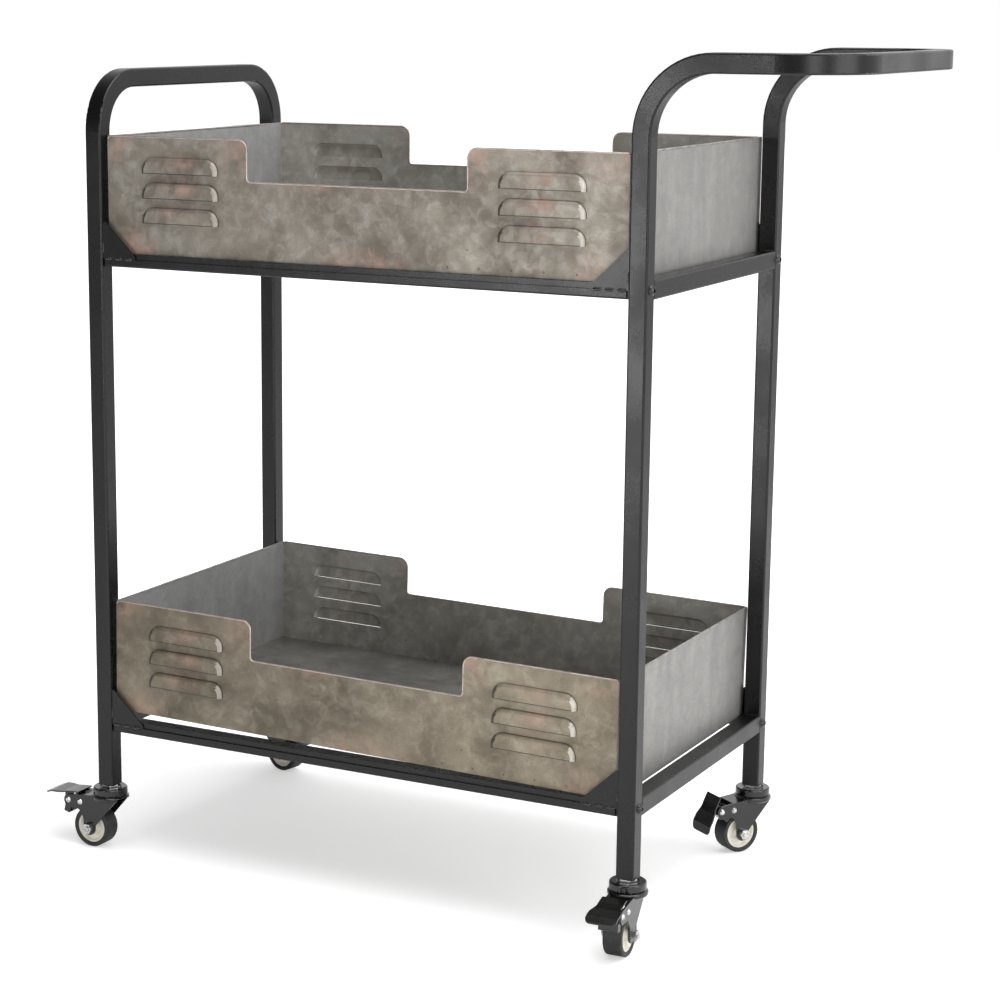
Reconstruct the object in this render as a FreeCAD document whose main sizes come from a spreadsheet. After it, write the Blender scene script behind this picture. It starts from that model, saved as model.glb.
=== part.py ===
import FreeCAD, Part
import math
import os
import Sketcher
from FreeCAD import Placement, Rotation, Vector

# Two-tier bar cart on swivel casters: a welded and bolted frame of square steel tube, two
# lift-off galvanised trays with louvers, and four braked casters.  Millimetres, +X towards the
# handle, +Z up, wheels on Z = 0.

DIMENSIONS = [
    ("tube_size", 19.0, "square frame tube, outside"),
    ("tube_wall", 1.2, "frame tube wall"),
    ("tube_corner", 2.0, "outside corner radius of the frame tube"),
    ("post_span_x", 613.0, "post centre to post centre along the cart"),
    ("post_span_y", 342.0, "post centre to post centre across the cart"),
    ("post_foot", 72.7, "height of the posts' lower ends"),
    ("low_end_top", 840.2, "top of the low end frame"),
    ("low_end_bend", 54.0, "centre line bend radius of the low end frame"),
    ("handle_top", 865.7, "top of the push handle"),
    ("handle_bend", 68.0, "centre line radius where a post turns into the handle"),
    ("handle_reach", 192.0, "handle centre line beyond the post centre line"),
    ("handle_corner", 65.0, "centre line radius of the handle's two corners"),
    ("lower_rail", 133.7, "underside of the lower end rails"),
    ("shelf_pitch", 503.5, "height between the two shelves"),
    ("angle_leg", 16.0, "shelf leg of the long rails' rolled angle"),
    ("angle_height", 14.0, "upright leg of the rolled angle"),
    ("angle_rise", 1.0, "long rails' underside above the end rails' underside"),
    ("angle_thick", 2.0, "thickness of the rolled angle"),
    ("angle_setback", 1.5, "long rail's outer face behind the posts' outer face"),
    ("angle_step", 2.0, "upper half of the long rail steps back by this"),
    ("bracket_leg", 40.0, "long edge of a corner bracket along the rail"),
    ("bracket_rise", 38.0, "height of a corner bracket above the rail's step"),
    ("bracket_thick", 1.6, "corner bracket front plate"),
    ("bracket_flange_thick", 2.4, "corner bracket flange against the post"),
    ("bracket_flange", 15.0, "width of the bracket's flange against the post"),
    ("bolt_radius", 3.0, "frame bolt and axle shank radius"),
    ("bolt_clearance", 0.3, "bolt hole radius over the bolt's radius"),
    ("bolt_head_radius", 5.25, "button head radius"),
    ("bolt_head_height", 3.2, "button head height"),
    ("bolt_rise", 9.5, "frame bolt above the underside of the rails"),
    ("bolt_inset", 2.0, "frame bolt inboard of the post centre line"),
    ("nut_flats", 10.0, "hexagon nut across flats"),
    ("nut_thick", 3.0, "weld nut thickness"),
    ("tray_length", 586.5, "tray outside length"),
    ("tray_width", 345.0, "tray outside width"),
    ("tray_height", 121.0, "tray height at its ends"),
    ("tray_sheet", 1.0, "galvanised sheet"),
    ("tray_flange", 4.0, "downturned edge of the floor pan"),
    ("notch_width", 248.0, "low middle part of the front and back panels"),
    ("notch_depth", 42.0, "depth of that cut-out"),
    ("notch_corner", 10.0, "outer corner radius of the cut-out"),
    ("louver_length", 92.0, "louver along the panel"),
    ("louver_height", 16.5, "louver height"),
    ("louver_depth", 5.0, "how far a louver stands out"),
    ("louver_pitch", 25.5, "louver to louver"),
    ("louver_offset", 204.0, "louver column from the panel's middle"),
    ("louver_first", 32.5, "lowest louver's edge above the tray's underside"),
    ("tray_rest_gap", 0.2, "running gap under a tray"),
    ("tray_shift", 1.75, "lower tray pushed towards the low end"),
    ("tray_lift", 10.0, "lower tray's low end, raised on the brackets' sloped flanges"),
    ("flange_ease", 0.8, "flange slope below the raised tray's corner"),
    ("wheel_radius", 22.2, "caster tyre radius"),
    ("wheel_width", 19.8, "caster tyre width"),
    ("rim_radius", 17.2, "tyre seat on the wheel core"),
    ("core_width", 17.0, "wheel core width at the rim"),
    ("hub_radius", 6.5, "wheel hub radius"),
    ("hub_width", 22.2, "wheel hub length"),
    ("axle_trail", 20.0, "axle behind the swivel axis"),
    ("axle_gap", 0.07, "running gap round the axle and the brake pin"),
    ("fork_width", 26.4, "outside width of the fork"),
    ("fork_inner", 22.8, "inside width of the fork"),
    ("race_radius", 20.2, "fork's lower race disc"),
    ("cup_radius", 18.6, "upper race cup"),
    ("ball_radius", 2.0, "ball of the swivel race"),
    ("ball_circle", 11.5, "radius of the ball circle"),
    ("kingpin_radius", 4.05, "swivel pin radius"),
    ("stem_radius", 5.0, "threaded stem radius"),
    ("stem_top", 96.0, "top of the threaded stem"),
    ("stem_flats", 17.0, "stem nut across flats"),
    ("pivot_x", 47.5, "brake pivot from the swivel axis"),
    ("pivot_z", 50.0, "brake pivot height"),
    ("tie_pin_x", 32.0, "fixed tie pin from the swivel axis"),
    ("pin_radius", 2.2, "brake pin radius"),
    ("pedal_width", 32.0, "brake pedal width at its tip"),
    ("pedal_sheet", 1.6, "brake pedal sheet"),
    ("shoe_reach", 16.0, "brake shoe tip from the pivot"),
    ("plug_height", 26.0, "threaded plug in a post's lower end"),
]

BALL_COUNT = 10
LOUVER_ROWS = 3

# Rest state of each caster: swivel angle of its trail and how far its brake pedal is pressed.
CASTERS = {
    "fl": {"side_x": -1, "side_y": -1, "swivel": 180.0, "pedal": 0.0},
    "fr": {"side_x": 1, "side_y": -1, "swivel": -87.0, "pedal": 9.0},
    "br": {"side_x": 1, "side_y": 1, "swivel": 235.0, "pedal": 60.0},
    "bl": {"side_x": -1, "side_y": 1, "swivel": -12.0, "pedal": 0.0},
}

doc = FreeCAD.newDocument("bar_cart")
sheet = doc.addObject("Spreadsheet::Sheet", "sizes")


class Size:
    """A length that knows both its value and the sheet expression that gives it."""

    def __init__(self, value, text):
        self.value = float(value)
        self.text = text

    def join(self, other, sign, value):
        return Size(value, "(%s %s %s)" % (self.text, sign, size(other).text))

    def __add__(self, other):
        return self.join(other, "+", self.value + size(other).value)

    def __sub__(self, other):
        return self.join(other, "-", self.value - size(other).value)

    def __mul__(self, other):
        return self.join(other, "*", self.value * size(other).value)

    def __truediv__(self, other):
        return self.join(other, "/", self.value / size(other).value)

    def __radd__(self, other):
        return size(other) + self

    def __rsub__(self, other):
        return size(other) - self

    def __rmul__(self, other):
        return size(other) * self

    def __neg__(self):
        return size(0) - self


def size(number):
    """Return number as a Size, unchanged if it is one already."""
    if isinstance(number, Size):
        return number
    return Size(number, "%.6g" % number)


def fill_sheet():
    """Write the driving dimensions to the sheet and return them as named sizes."""
    named = {}
    for row, (alias, value, note) in enumerate(DIMENSIONS, start=1):
        sheet.set("A%d" % row, alias)
        sheet.set("B%d" % row, "%g" % value)
        sheet.set("C%d" % row, note)
        sheet.setAlias("B%d" % row, alias)
        named[alias] = Size(value, "sizes." + alias)
    doc.recompute()
    return named


D = fill_sheet()
parts = {}


def bind(thing, name, length):
    """Tie a property of a document object to a sheet expression."""
    length = size(length)
    setattr(thing, name, length.value)
    thing.setExpression(name, length.text)


# ---------------------------------------------------------------- sketches

def new_body(label):
    body = doc.addObject("PartDesign::Body", label)
    body.Label = label
    return body


def new_sketch(body, role, name, offset=None):
    """A sketch on one of the body's origin planes, moved along its normal by offset."""
    sketch = body.newObject("Sketcher::SketchObject", name)
    for feature in body.Origin.OriginFeatures:
        if feature.Role == role:
            sketch.AttachmentSupport = [(feature, "")]
    sketch.MapMode = "FlatFace"
    if offset is not None:
        offset = size(offset)
        sketch.AttachmentOffset = Placement(Vector(0, 0, offset.value), Rotation())
        sketch.setExpression("AttachmentOffset.Base.z", offset.text)
    return sketch


def hold(sketch, kind, first, second, length, geometry, point):
    """Add a driving distance from the sketch's origin to a point and bind it to the sheet."""
    length = size(length)
    index = sketch.addConstraint(Sketcher.Constraint(kind, first, second, geometry, point, length.value))
    sketch.setExpression("Constraints[%d]" % index, length.text)


def hold_point(sketch, geometry, point, x, y):
    hold(sketch, "DistanceX", -1, 1, x, geometry, point)
    hold(sketch, "DistanceY", -1, 1, y, geometry, point)


def corner_arc(before, corner, after, radius):
    """Tangent points and arc that round a corner, and whether the arc runs with the outline."""
    inward = (before - corner).normalize()
    outward = (after - corner).normalize()
    half = inward.getAngle(outward) / 2
    reach = radius / math.tan(half)
    first = corner + inward * reach
    last = corner + outward * reach
    centre = corner + (inward + outward).normalize() * (radius / math.sin(half))
    turns_left = inward.cross(outward).z < 0
    start, end = (first, last) if turns_left else (last, first)
    start_angle = math.atan2(start.y - centre.y, start.x - centre.x)
    end_angle = math.atan2(end.y - centre.y, end.x - centre.x)
    circle = Part.Circle(centre, Vector(0, 0, 1), radius)
    return first, last, Part.ArcOfCircle(circle, start_angle, end_angle), turns_left


def outline(sketch, corners, closed=True):
    """Draw straight lines through corners of (x, y) or (x, y, radius), all held by the sheet."""
    count = len(corners)
    spots = [Vector(size(c[0]).value, size(c[1]).value, 0) for c in corners]
    rounds = {}
    for i, corner in enumerate(corners):
        inside = closed or 0 < i < count - 1
        if len(corner) == 3 and inside:
            neighbours = spots[i - 1], spots[(i + 1) % count]
            rounds[i] = corner_arc(neighbours[0], spots[i], neighbours[1], size(corner[2]).value)
    lines = {}
    for i in range(count if closed else count - 1):
        after = (i + 1) % count
        start = rounds[i][1] if i in rounds else spots[i]
        end = rounds[after][0] if after in rounds else spots[after]
        lines[i] = sketch.addGeometry(Part.LineSegment(start, end))
    for i, corner in enumerate(corners):
        line_in = lines.get((i - 1) % count)
        line_out = lines.get(i)
        if i in rounds:
            arc_start, arc_end = (1, 2) if rounds[i][3] else (2, 1)
            arc = sketch.addGeometry(rounds[i][2])
            vertex = sketch.addGeometry(Part.Point(spots[i]), True)
            sketch.addConstraint(Sketcher.Constraint("PointOnObject", vertex, 1, line_in))
            sketch.addConstraint(Sketcher.Constraint("PointOnObject", vertex, 1, line_out))
            sketch.addConstraint(Sketcher.Constraint("Tangent", line_in, 2, arc, arc_start))
            sketch.addConstraint(Sketcher.Constraint("Tangent", line_out, 1, arc, arc_end))
            radius = size(corner[2])
            index = sketch.addConstraint(Sketcher.Constraint("Radius", arc, radius.value))
            sketch.setExpression("Constraints[%d]" % index, radius.text)
            hold_point(sketch, vertex, 1, corner[0], corner[1])
        else:
            if line_in is not None and line_out is not None:
                sketch.addConstraint(Sketcher.Constraint("Coincident", line_in, 2, line_out, 1))
            if line_out is not None:
                hold_point(sketch, line_out, 1, corner[0], corner[1])
            else:
                hold_point(sketch, line_in, 2, corner[0], corner[1])
    return sketch


def circle(sketch, x, y, radius):
    centre = Vector(size(x).value, size(y).value, 0)
    index = sketch.addGeometry(Part.Circle(centre, Vector(0, 0, 1), size(radius).value))
    hold_point(sketch, index, 3, x, y)
    radius = size(radius)
    held = sketch.addConstraint(Sketcher.Constraint("Radius", index, radius.value))
    sketch.setExpression("Constraints[%d]" % held, radius.text)


def rectangle(sketch, x0, x1, y0, y1, radius=None):
    """A rectangle, with its four corners rounded if a radius is given."""
    corners = [(x0, y0), (x1, y0), (x1, y1), (x0, y1)]
    if radius is not None:
        corners = [corner + (radius,) for corner in corners]
    outline(sketch, corners)


def tube_section(sketch, x=0, y=0):
    """The frame tube's hollow square section."""
    half = D["tube_size"] / 2
    inner = half - D["tube_wall"]
    rectangle(sketch, x - half, x + half, y - half, y + half, D["tube_corner"])
    rectangle(sketch, x - inner, x + inner, y - inner, y + inner, D["tube_corner"] - D["tube_wall"])


def hexagon(sketch, x, y, flats):
    """A regular hexagon with two of its flats level."""
    corner = flats / math.sqrt(3)
    rise = flats / 2
    run = corner / 2
    outline(sketch, [(x + corner, y), (x + run, y + rise), (x - run, y + rise),
                     (x - corner, y), (x - run, y - rise), (x + run, y - rise)])


# ---------------------------------------------------------------- features

def pad(body, sketch, length, symmetric=True, reverse=False):
    feature = body.newObject("PartDesign::Pad", sketch.Name + "_pad")
    feature.Profile = sketch
    feature.SideType = "Symmetric" if symmetric else "One side"
    feature.Reversed = reverse
    bind(feature, "Length", length)
    sketch.Visibility = False
    return feature


def pocket(body, sketch, length, symmetric=True, reverse=False):
    feature = body.newObject("PartDesign::Pocket", sketch.Name + "_pocket")
    feature.Profile = sketch
    feature.SideType = "Symmetric" if symmetric else "One side"
    feature.Reversed = reverse
    bind(feature, "Length", length)
    return feature


def revolve(body, sketch, axis="V_Axis"):
    feature = body.newObject("PartDesign::Revolution", sketch.Name + "_revolve")
    feature.Profile = sketch
    feature.ReferenceAxis = (sketch, [axis])
    feature.Angle = 360
    return feature


def pipe(body, section, spine):
    feature = body.newObject("PartDesign::AdditivePipe", section.Name + "_pipe")
    feature.Profile = section
    edges = ["Edge%d" % (i + 1) for i in range(len(spine.Shape.Edges))]
    feature.Spine = (spine, edges)
    return feature


def keep(label, thing, place=None):
    """Register a finished sub-part under its node name and put it in its place."""
    thing.Label = label
    if place is not None:
        thing.Placement = place
    parts[label] = thing
    return thing


def group(label, solids):
    """One node of separate solids, as for identical fasteners."""
    node = doc.addObject("Part::Feature", label)
    node.Shape = Part.Compound(solids)
    return keep(label, node)


def placed(shape, place):
    """A copy of a shape moved to a place."""
    copy = shape.copy()
    copy.Placement = place.multiply(copy.Placement)
    return copy


def at(x, y, z, angle=0.0, axis=Vector(0, 0, 1)):
    return Placement(Vector(x, y, z), Rotation(axis, angle))


def corner_signs():
    return [(side_x, side_y) for side_x in (-1, 1) for side_y in (-1, 1)]


HALF_X = D["post_span_x"] / 2
HALF_Y = D["post_span_y"] / 2
HALF_TUBE = D["tube_size"] / 2
RAIL_LEVELS = {"lower": D["lower_rail"], "upper": D["lower_rail"] + D["shelf_pitch"]}


# ---------------------------------------------------------------- frame

def bolt_holes(body, x):
    """Drill both walls of a frame's posts for the bolts of the long rails."""
    sketch = new_sketch(body, "YZ_Plane", body.Label + "_bolt_holes", x)
    radius = D["bolt_radius"] + D["bolt_clearance"]
    across = HALF_Y - D["bolt_inset"]
    for level in RAIL_LEVELS.values():
        for y in (-across, across):
            circle(sketch, y, level + D["bolt_rise"], radius)
    pocket(body, sketch, D["tube_size"] * 2)


def low_end_frame():
    """Inverted U of bent square tube at the end away from the handle."""
    body = new_body("low_end_frame")
    middle = D["low_end_top"] - HALF_TUBE
    spine = new_sketch(body, "YZ_Plane", "low_end_spine", -HALF_X)
    outline(spine, [(-HALF_Y, D["post_foot"]), (-HALF_Y, middle, D["low_end_bend"]),
                    (HALF_Y, middle, D["low_end_bend"]), (HALF_Y, D["post_foot"])], closed=False)
    section = new_sketch(body, "XY_Plane", "low_end_section", D["post_foot"])
    tube_section(section, -HALF_X, -HALF_Y)
    doc.recompute()
    pipe(body, section, spine)
    bolt_holes(body, -HALF_X)
    return keep("low_end_frame", body)


def handle_end_frame():
    """Two posts that turn outwards at the top and meet in one U-shaped push handle."""
    body = new_body("handle_end_frame")
    middle = D["handle_top"] - HALF_TUBE
    turn_x = HALF_X + D["handle_bend"] + D["tube_size"]
    end_x = HALF_X + D["handle_reach"]
    spine = new_sketch(body, "XZ_Plane", "post_spine", HALF_Y)
    outline(spine, [(HALF_X, D["post_foot"]), (HALF_X, middle, D["handle_bend"]),
                    (turn_x, middle)], closed=False)
    section = new_sketch(body, "XY_Plane", "post_section", D["post_foot"])
    tube_section(section, HALF_X, -HALF_Y)
    doc.recompute()
    post = pipe(body, section, spine)
    mirrored = body.newObject("PartDesign::Mirrored", "far_post")
    mirrored.Originals = [post]
    for feature in body.Origin.OriginFeatures:
        if feature.Role == "XZ_Plane":
            mirrored.MirrorPlane = (feature, [""])
    body.Tip = mirrored
    loop = new_sketch(body, "XY_Plane", "loop_spine", middle)
    outline(loop, [(turn_x, -HALF_Y), (end_x, -HALF_Y, D["handle_corner"]),
                   (end_x, HALF_Y, D["handle_corner"]), (turn_x, HALF_Y)], closed=False)
    loop_section = new_sketch(body, "YZ_Plane", "loop_section", turn_x)
    tube_section(loop_section, -HALF_Y, middle)
    doc.recompute()
    pipe(body, loop_section, loop)
    bolt_holes(body, HALF_X)
    return keep("handle_end_frame", body)


def end_rails():
    """Short square tubes welded between the two posts of each end, at both shelf heights."""
    for end, side in (("low", -1), ("handle", 1)):
        for level, height in RAIL_LEVELS.items():
            label = "end_rail_%s_%s" % (end, level)
            body = new_body(label)
            section = new_sketch(body, "XZ_Plane", label + "_section")
            tube_section(section)
            pad(body, section, D["post_span_y"] - D["tube_size"])
            keep(label, body, at(side * HALF_X.value, 0, (height + HALF_TUBE).value))


def long_rails():
    """Rolled angles that join the two ends: a stepped upright outside, a shelf leg on top.

    The shelf leg is cut back at both ends to clear the weld nuts on the bracket flanges.
    """
    outer = HALF_Y + HALF_TUBE - D["angle_setback"]
    back = outer - D["angle_step"]
    inner = back - D["angle_thick"]
    step = D["angle_height"] * 0.58
    top = D["angle_height"]
    shelf = top - D["angle_thick"]
    length = D["post_span_x"] - D["tube_size"] - D["bracket_flange_thick"] * 2
    cope_length = D["nut_thick"] + 1
    for side, turn in (("front", 0.0), ("back", 180.0)):
        for level, height in RAIL_LEVELS.items():
            label = "%s_rail_%s" % (side, level)
            body = new_body(label)
            section = new_sketch(body, "YZ_Plane", label + "_section")
            outline(section, [(-outer, 0, D["angle_thick"]), (-outer, step), (-back, step),
                              (-back, top), (-back + D["angle_leg"], top),
                              (-back + D["angle_leg"], shelf), (-inner, shelf), (-inner, 0)])
            pad(body, section, length)
            for sign, end in ((-1, "low"), (1, "handle")):
                cope = new_sketch(body, "XY_Plane", "%s_cope_%s" % (label, end), top)
                rectangle(cope, (length / 2 - cope_length) * sign, (length / 2 + 1) * sign,
                          -inner, D["angle_leg"] + 1 - back)
                pocket(body, cope, D["angle_thick"] * 2 + 1)
            keep(label, body, at(0, 0, (height + D["angle_rise"]).value, turn))


def bracket_pattern():
    """Corner bracket for the front corner next to the handle, drawn about the post's inner face."""
    body = new_body("bracket_pattern")
    face = HALF_X - HALF_TUBE
    plate_y = HALF_Y + HALF_TUBE - D["angle_setback"] - D["angle_step"]
    front = plate_y + D["bracket_thick"]
    foot = D["angle_rise"] + D["angle_height"] * 0.58
    crest = foot + D["bracket_rise"]
    plate = new_sketch(body, "XZ_Plane", "bracket_plate", plate_y)
    outline(plate, [(face, foot), (face, crest), (face - D["bracket_thick"] * 2, crest),
                    (face - D["bracket_leg"], foot + D["bracket_thick"] * 2),
                    (face - D["bracket_leg"], foot)])
    pad(body, plate, D["bracket_thick"], symmetric=False)
    flange = new_sketch(body, "YZ_Plane", "bracket_flange_face", face)
    under = D["angle_rise"]
    shoulder = D["angle_rise"] + D["angle_height"]
    tray_corner = D["tray_width"] / 2
    lean = (crest - shoulder - D["tray_lift"] + D["flange_ease"]) / (front - tray_corner)
    neck = front - (crest - shoulder) / lean
    outline(flange, [(-front, foot), (-plate_y, foot), (-plate_y, under),
                     (-plate_y + D["bracket_flange"], under),
                     (-plate_y + D["bracket_flange"], shoulder), (-neck, shoulder), (-front, crest)])
    pad(body, flange, D["bracket_flange_thick"], symmetric=False, reverse=True)
    hole = new_sketch(body, "YZ_Plane", "bracket_hole", face)
    circle(hole, -(HALF_Y - D["bolt_inset"]), D["bolt_rise"], D["bolt_radius"] + D["bolt_clearance"])
    pocket(body, hole, D["bracket_flange_thick"] * 4)
    return body


def four_corners(shape):
    """The shape at the front corner by the handle, and mirrored into the other three."""
    along = shape.mirror(Vector(0, 0, 0), Vector(1, 0, 0))
    across = shape.mirror(Vector(0, 0, 0), Vector(0, 1, 0))
    both = along.mirror(Vector(0, 0, 0), Vector(0, 1, 0))
    return [shape, along, across, both]


def corner_brackets():
    pattern = bracket_pattern()
    doc.recompute()
    for level, height in RAIL_LEVELS.items():
        lift = at(0, 0, height.value)
        solids = [placed(solid, lift) for solid in four_corners(pattern.Shape)]
        group("corner_brackets_" + level, solids)


def weld_nut_pattern():
    body = new_body("weld_nut_pattern")
    seat = HALF_X - HALF_TUBE - D["bracket_flange_thick"]
    across = HALF_Y - D["bolt_inset"]
    face = new_sketch(body, "YZ_Plane", "weld_nut_face", seat)
    hexagon(face, -across, D["bolt_rise"], D["nut_flats"])
    pad(body, face, D["nut_thick"], symmetric=False, reverse=True)
    hole = new_sketch(body, "YZ_Plane", "weld_nut_hole", seat)
    circle(hole, -across, D["bolt_rise"], D["bolt_radius"])
    pocket(body, hole, D["nut_thick"] * 4)
    return body


def frame_bolt_pattern():
    """Button-head bolt with a hexagon socket, its head against a post's outer face."""
    body = new_body("frame_bolt_pattern")
    radius = D["bolt_radius"]
    head = D["bolt_head_radius"]
    height = D["bolt_head_height"]
    grip = D["tube_size"] + D["bracket_flange_thick"] + D["nut_thick"]
    profile = new_sketch(body, "XZ_Plane", "frame_bolt_profile")
    outline(profile, [(-grip, 0), (height, 0), (height, head / 2), (height / 2, head * 0.85),
                      (0, head), (0, radius), (-grip, radius)])
    revolve(body, profile, "H_Axis")
    socket = new_sketch(body, "YZ_Plane", "frame_bolt_socket", height)
    hexagon(socket, 0, 0, radius * 4 / 3)
    doc.recompute()
    pocket(body, socket, height * 0.6, symmetric=False)
    return body


def frame_fasteners():
    nut = weld_nut_pattern()
    bolt = frame_bolt_pattern()
    doc.recompute()
    bolt_place = at((HALF_X + HALF_TUBE).value, -(HALF_Y - D["bolt_inset"]).value, D["bolt_rise"].value)
    nuts = []
    bolts = []
    for height in RAIL_LEVELS.values():
        lift = at(0, 0, height.value)
        nuts += [placed(solid, lift) for solid in four_corners(nut.Shape)]
        seated = placed(bolt.Shape, bolt_place)
        bolts += [placed(solid, lift) for solid in four_corners(seated)]
    group("weld_nuts", nuts)
    group("frame_bolts", bolts)


def post_plugs():
    """Threaded square plugs pressed into the posts' lower ends to take the caster stems."""
    width = D["tube_size"] - D["tube_wall"] * 2
    block = doc.addObject("Part::Box", "plug_block")
    bind(block, "Length", width)
    bind(block, "Width", width)
    bind(block, "Height", D["plug_height"])
    block.Placement = at(-width.value / 2, -width.value / 2, 0)
    edges = doc.addObject("Part::Fillet", "plug_rounded")
    edges.Base = block
    corner = D["tube_corner"] - D["tube_wall"]
    doc.recompute()
    upright = [i + 1 for i, edge in enumerate(block.Shape.Edges) if abs(edge.tangentAt(0).z) > 0.9]
    edges.Edges = [(index, corner.value, corner.value) for index in upright]
    bore = doc.addObject("Part::Cylinder", "plug_bore")
    bind(bore, "Radius", D["stem_radius"])
    bind(bore, "Height", D["plug_height"])
    plug = doc.addObject("Part::Cut", "plug_pattern")
    plug.Base = edges
    plug.Tool = bore
    doc.recompute()
    spots = [at(sx * HALF_X.value, sy * HALF_Y.value, D["post_foot"].value) for sx, sy in corner_signs()]
    group("post_plugs", [placed(plug.Shape, spot) for spot in spots])


# ---------------------------------------------------------------- trays

def louvered_panel(label):
    """Front or back panel: high ends, a low middle and two columns of pressed louvers."""
    body = new_body(label)
    half = D["tray_length"] / 2
    sheet_thick = D["tray_sheet"]
    top = D["tray_height"]
    low = top - D["notch_depth"]
    gap = D["notch_width"] / 2
    corner = D["notch_corner"]
    face = new_sketch(body, "XZ_Plane", label + "_face")
    outline(face, [(-half, 0), (half, 0), (half, top, 3), (gap, top, corner), (gap, low, 4),
                   (-gap, low, 4), (-gap, top, corner), (-half, top, 3)])
    pad(body, face, sheet_thick, symmetric=False, reverse=True)
    originals = []
    foot = D["louver_first"]
    crest = foot + D["louver_height"]
    reach = D["louver_length"] / 2
    middle = -D["louver_offset"]
    end_round = D["louver_height"] * 0.9
    for kind, inset, depth, start in (("hood", 0, D["louver_depth"], size(0)),
                                      ("slot", 1, D["louver_depth"] - sheet_thick, -sheet_thick * 2)):
        rim = new_sketch(body, "XZ_Plane", "%s_%s_rim" % (label, kind), start)
        outline(rim, [(middle - reach + inset, foot), (middle + reach - inset, foot),
                      (middle + reach - inset, crest - inset, end_round),
                      (middle - reach + inset, crest - inset, end_round)])
        lip = new_sketch(body, "XZ_Plane", "%s_%s_lip" % (label, kind), depth)
        inner = reach - D["louver_depth"] - inset
        lip_top = foot + D["louver_height"] * 0.45 - inset
        outline(lip, [(middle - inner, foot), (middle + inner, foot),
                      (middle + inner, lip_top, end_round * 0.35),
                      (middle - inner, lip_top, end_round * 0.35)])
        name = "PartDesign::AdditiveLoft" if kind == "hood" else "PartDesign::SubtractiveLoft"
        loft = body.newObject(name, "%s_%s" % (label, kind))
        loft.Profile = rim
        loft.Sections = [(lip, [""])]
        loft.Ruled = True
        originals.append(loft)
    doc.recompute()
    pattern = body.newObject("PartDesign::LinearPattern", label + "_louvers")
    pattern.Originals = originals
    pattern.Direction = (face, ["V_Axis"])
    bind(pattern, "Length", D["louver_pitch"] * (LOUVER_ROWS - 1))
    pattern.Occurrences = LOUVER_ROWS
    pattern.Direction2 = (face, ["H_Axis"])
    bind(pattern, "Length2", D["louver_offset"] * 2)
    pattern.Occurrences2 = 2
    body.Tip = pattern
    return body


def end_panel(label):
    """Plain panel between the front and back panels."""
    panel = doc.addObject("Part::Box", label)
    bind(panel, "Length", D["tray_sheet"])
    bind(panel, "Width", D["tray_width"] - D["tray_sheet"] * 2)
    bind(panel, "Height", D["tray_height"])
    return panel


def floor_pan(label):
    """Folded floor with a downturned edge all round, spot-welded inside the panels."""
    body = new_body(label)
    sheet_thick = D["tray_sheet"]
    half_x = D["tray_length"] / 2 - sheet_thick
    half_y = D["tray_width"] / 2 - sheet_thick
    blank = new_sketch(body, "XY_Plane", label + "_blank")
    rectangle(blank, -half_x, half_x, -half_y, half_y)
    pad(body, blank, D["tray_flange"], symmetric=False)
    hollow = new_sketch(body, "XY_Plane", label + "_hollow")
    rectangle(hollow, sheet_thick - half_x, half_x - sheet_thick,
              sheet_thick - half_y, half_y - sheet_thick)
    pocket(body, hollow, D["tray_flange"] - sheet_thick, symmetric=False, reverse=True)
    return body


def tray(name, seat):
    """Build the five pieces of a tray about the middle of its underside, then seat them."""
    half_y = D["tray_width"].value / 2
    half_x = D["tray_length"].value / 2
    sheet_thick = D["tray_sheet"].value
    keep(name + "_front_panel", louvered_panel(name + "_front_panel"), seat.multiply(at(0, -half_y, 0)))
    keep(name + "_back_panel", louvered_panel(name + "_back_panel"),
         seat.multiply(at(0, half_y, 0, 180.0)))
    for end, x in (("low", -half_x), ("handle", half_x - sheet_thick)):
        label = "%s_%s_panel" % (name, end)
        keep(label, end_panel(label), seat.multiply(at(x, sheet_thick - half_y, 0)))
    keep(name + "_floor", floor_pan(name + "_floor"), seat)


def trays():
    """The upper tray lies flat on the long rails; the lower one's low end rides up on two brackets."""
    shelf = D["angle_rise"] + D["angle_height"] + D["tray_rest_gap"]
    tray("upper_tray", at(0, 0, (RAIL_LEVELS["upper"] + shelf).value))
    length = D["tray_length"].value
    width = D["tray_width"].value
    pitch = math.degrees(math.asin(D["tray_lift"].value / length))
    lean = Placement(Vector(0, 0, 0), Rotation(Vector(0, 1, 0), pitch))
    resting = Vector(length / 2, width / 2, 0)
    seat = at(resting.x - D["tray_shift"].value, resting.y, (RAIL_LEVELS["lower"] + shelf).value)
    tray("lower_tray", seat.multiply(lean).multiply(at(-resting.x, -resting.y, 0)))


# ---------------------------------------------------------------- casters

CUP_TOP = 70.0
CUP_WELL = 68.4
CUP_FLOOR = 65.4
RACE_TOP = 61.3
RACE_PLATE = 2.2


def caster_stem(label):
    """Threaded stem and swivel pin in one, fixed to the post, with a head under the fork."""
    body = new_body(label)
    profile = new_sketch(body, "XZ_Plane", label + "_profile")
    stem = D["stem_radius"]
    pin = D["kingpin_radius"]
    outline(profile, [(0, D["stem_top"]), (stem - 1, D["stem_top"]), (stem, D["stem_top"] - 1),
                      (stem, CUP_FLOOR), (pin, CUP_FLOOR), (pin, 58.9), (pin + 3, 58.9),
                      (pin + 3, 56.4), (0, 56.4)])
    revolve(body, profile)
    return body


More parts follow.
